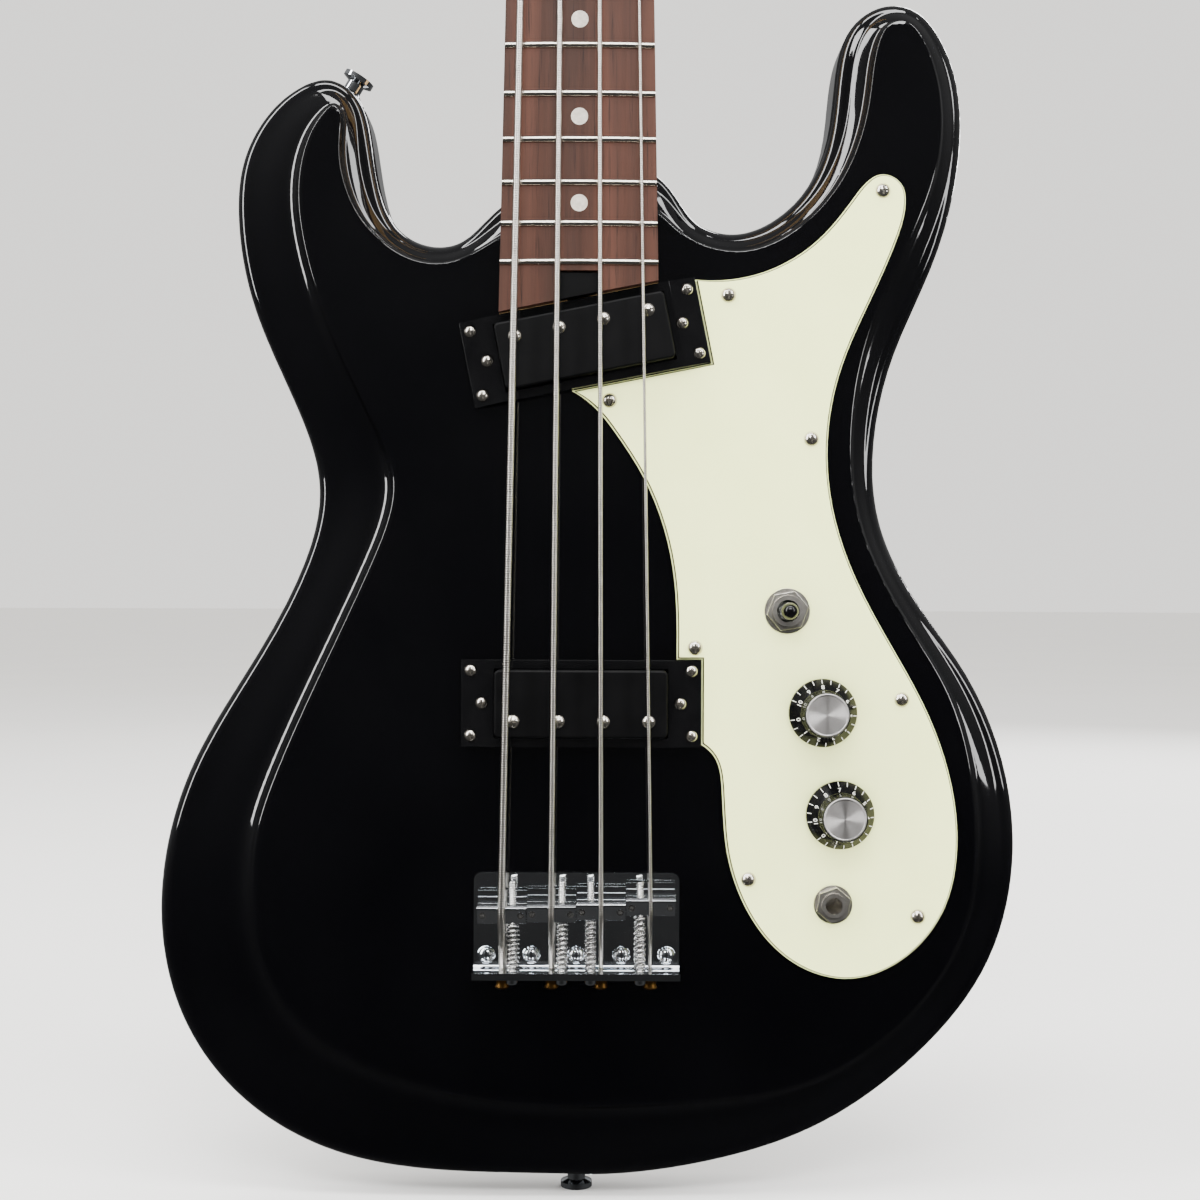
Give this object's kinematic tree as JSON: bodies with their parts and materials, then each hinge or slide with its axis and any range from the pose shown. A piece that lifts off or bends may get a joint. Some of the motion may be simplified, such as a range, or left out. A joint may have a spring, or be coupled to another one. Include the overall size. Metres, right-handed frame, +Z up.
{
  "type": "electric bass guitar",
  "caption": "Short-scale electric bass guitar with a carved offset double-cutaway body, slanted neck pickup, mint pickguard, adjustable saddle bridge and geared tuners.",
  "frame": {"origin": "middle of the lower strap button's rim, on the button's axis", "axes": "+Z up the neck, the front faces -Y, +X to the viewer's right"},
  "size_m": [0.3327, 0.06, 1.0857],
  "materials": {
    "black_gloss": "gloss black polyester over wood",
    "maple": "satin maple",
    "rosewood": "oiled rosewood",
    "nickel": "polished nickel plate",
    "pearl": "pearloid",
    "bone": "bone",
    "steel": "bright steel",
    "black_plastic": "gloss black plastic",
    "black_satin": "satin black plastic",
    "mint_plastic": "mint green plastic",
    "copper": "enamelled copper",
    "magnet_steel": "cast magnet",
    "chrome": "polished chrome plate",
    "string_steel": "round-wound steel",
    "green_capacitor": "dipped film"
  },
  "bodies": {
    "instrument": {"body": "black_gloss", "neck": "maple", "fretboard": "rosewood", "frets": "nickel", "fret_markers": "pearl", "nut": "bone", "truss_rod": "steel", "truss_rod_cover": "black_plastic", "pickguard": "mint_plastic", "pickguard_core": "black_plastic", "pickguard_screws": "nickel", "neck_pickup_surround": "black_plastic", "bridge_pickup_surround": "black_plastic", "surround_screws": "nickel", "pickup_height_screws": "nickel", "pickup_height_springs": "steel", "neck_pickup_cover": "black_satin", "bridge_pickup_cover": "black_satin", "pole_screws": "nickel", "pickup_bobbins": "black_satin", "pickup_coils": "copper", "pickup_magnets": "magnet_steel", "bridge_plate": "chrome", "bridge_screws": "chrome", "intonation_springs": "steel", "tuner_plates": "chrome", "tuner_bushings": "chrome", "tuner_screws": "nickel", "string_tree": "chrome", "neck_plate": "chrome", "neck_bolts": "nickel", "strap_buttons": "chrome", "potentiometers": "steel", "control_nuts": "chrome", "switch_body": "steel", "output_jack": "nickel", "tone_capacitor": "green_capacitor", "string_e": "string_steel", "string_a": "string_steel", "string_d": "string_steel", "string_g": "string_steel"},
    "volume_control": {"volume_knob": "black_plastic"},
    "tone_control": {"tone_knob": "black_plastic"},
    "selector": {"switch_lever": "nickel"},
    "tuner_key_e_body": {"tuner_key_e": "chrome"},
    "tuner_post_e_body": {"tuner_post_e": "chrome"},
    "intonation_screw_e_body": {"intonation_screw_e": "nickel"},
    "saddle_e_body": {"saddle_e": "chrome"},
    "tuner_key_a_body": {"tuner_key_a": "chrome"},
    "tuner_post_a_body": {"tuner_post_a": "chrome"},
    "intonation_screw_a_body": {"intonation_screw_a": "nickel"},
    "saddle_a_body": {"saddle_a": "chrome"},
    "tuner_key_d_body": {"tuner_key_d": "chrome"},
    "tuner_post_d_body": {"tuner_post_d": "chrome"},
    "intonation_screw_d_body": {"intonation_screw_d": "nickel"},
    "saddle_d_body": {"saddle_d": "chrome"},
    "tuner_key_g_body": {"tuner_key_g": "chrome"},
    "tuner_post_g_body": {"tuner_post_g": "chrome"},
    "intonation_screw_g_body": {"intonation_screw_g": "nickel"},
    "saddle_g_body": {"saddle_g": "chrome"}
  },
  "joints": [
    {"name": "volume_turn", "type": "hinge", "parent": "instrument", "child": "volume_control", "pos_m": [0.0934, -0.035, 0.1891], "axis": [0, -1, 0], "range_deg": [-140, 140]},
    {"name": "tone_turn", "type": "hinge", "parent": "instrument", "child": "tone_control", "pos_m": [0.1001, -0.035, 0.1503], "axis": [0, -1, 0], "range_deg": [-140, 140]},
    {"name": "selector_tilt", "type": "hinge", "parent": "instrument", "child": "selector", "pos_m": [0.0798, -0.0254, 0.2278], "axis": [1, 0, 0], "range_deg": [-12, 12]},
    {"name": "tuner_key_e_turn", "type": "hinge", "parent": "instrument", "child": "tuner_key_e_body", "pos_m": [-0.0209, -0.00575, 0.9259], "axis": [-1, 0, 0], "continuous": true},
    {"name": "tuner_post_e_turn", "type": "hinge", "parent": "instrument", "child": "tuner_post_e_body", "pos_m": [-0.0209, -0.03, 0.938], "axis": [0, -1, 0], "continuous": true},
    {"name": "intonation_screw_e_turn", "type": "hinge", "parent": "instrument", "child": "intonation_screw_e_body", "pos_m": [-0.0241, -0.0352, 0.1], "axis": [0, 0, 1], "range_deg": [-2160, 2160]},
    {"name": "saddle_e_slide", "type": "slide", "parent": "instrument", "child": "saddle_e_body", "axis": [0, 0, 1], "range_m": [-0.003, 0.003], "deforming": ["intonation_springs"]},
    {"name": "tuner_key_a_turn", "type": "hinge", "parent": "instrument", "child": "tuner_key_a_body", "pos_m": [-0.01065, -0.00575, 0.9659], "axis": [-1, 0, 0], "continuous": true},
    {"name": "tuner_post_a_turn", "type": "hinge", "parent": "instrument", "child": "tuner_post_a_body", "pos_m": [-0.01065, -0.03, 0.978], "axis": [0, -1, 0], "continuous": true},
    {"name": "intonation_screw_a_turn", "type": "hinge", "parent": "instrument", "child": "intonation_screw_a_body", "pos_m": [-0.0054, -0.0352, 0.1], "axis": [0, 0, 1], "range_deg": [-2160, 2160]},
    {"name": "saddle_a_slide", "type": "slide", "parent": "instrument", "child": "saddle_a_body", "axis": [0, 0, 1], "range_m": [-0.003, 0.003], "deforming": ["intonation_springs"]},
    {"name": "tuner_key_d_turn", "type": "hinge", "parent": "instrument", "child": "tuner_key_d_body", "pos_m": [-0.00042, -0.00575, 1.0059], "axis": [-1, 0, 0], "continuous": true},
    {"name": "tuner_post_d_turn", "type": "hinge", "parent": "instrument", "child": "tuner_post_d_body", "pos_m": [-0.00042, -0.03, 1.018], "axis": [0, -1, 0], "continuous": true},
    {"name": "intonation_screw_d_turn", "type": "hinge", "parent": "instrument", "child": "intonation_screw_d_body", "pos_m": [0.0054, -0.0352, 0.1], "axis": [0, 0, 1], "range_deg": [-2160, 2160]},
    {"name": "saddle_d_slide", "type": "slide", "parent": "instrument", "child": "saddle_d_body", "axis": [0, 0, 1], "range_m": [-0.003, 0.003], "deforming": ["intonation_springs"]},
    {"name": "tuner_key_g_turn", "type": "hinge", "parent": "instrument", "child": "tuner_key_g_body", "pos_m": [0.00983, -0.00575, 1.0459], "axis": [-1, 0, 0], "continuous": true},
    {"name": "tuner_post_g_turn", "type": "hinge", "parent": "instrument", "child": "tuner_post_g_body", "pos_m": [0.00983, -0.03, 1.058], "axis": [0, -1, 0], "continuous": true},
    {"name": "intonation_screw_g_turn", "type": "hinge", "parent": "instrument", "child": "intonation_screw_g_body", "pos_m": [0.0241, -0.0352, 0.1], "axis": [0, 0, 1], "range_deg": [-2160, 2160]},
    {"name": "saddle_g_slide", "type": "slide", "parent": "instrument", "child": "saddle_g_body", "axis": [0, 0, 1], "range_m": [-0.003, 0.003], "deforming": ["intonation_springs"]}
  ],
  "couplings": [
    {"joint": "tuner_post_e_turn", "follows": "tuner_key_e_turn", "ratio": 0.05},
    {"joint": "intonation_screw_e_turn", "follows": "saddle_e_slide", "rad_per_m": 12566},
    {"joint": "tuner_post_a_turn", "follows": "tuner_key_a_turn", "ratio": 0.05},
    {"joint": "intonation_screw_a_turn", "follows": "saddle_a_slide", "rad_per_m": 12566},
    {"joint": "tuner_post_d_turn", "follows": "tuner_key_d_turn", "ratio": 0.05},
    {"joint": "intonation_screw_d_turn", "follows": "saddle_d_slide", "rad_per_m": 12566},
    {"joint": "tuner_post_g_turn", "follows": "tuner_key_g_turn", "ratio": 0.05},
    {"joint": "intonation_screw_g_turn", "follows": "saddle_g_slide", "rad_per_m": 12566}
  ]
}
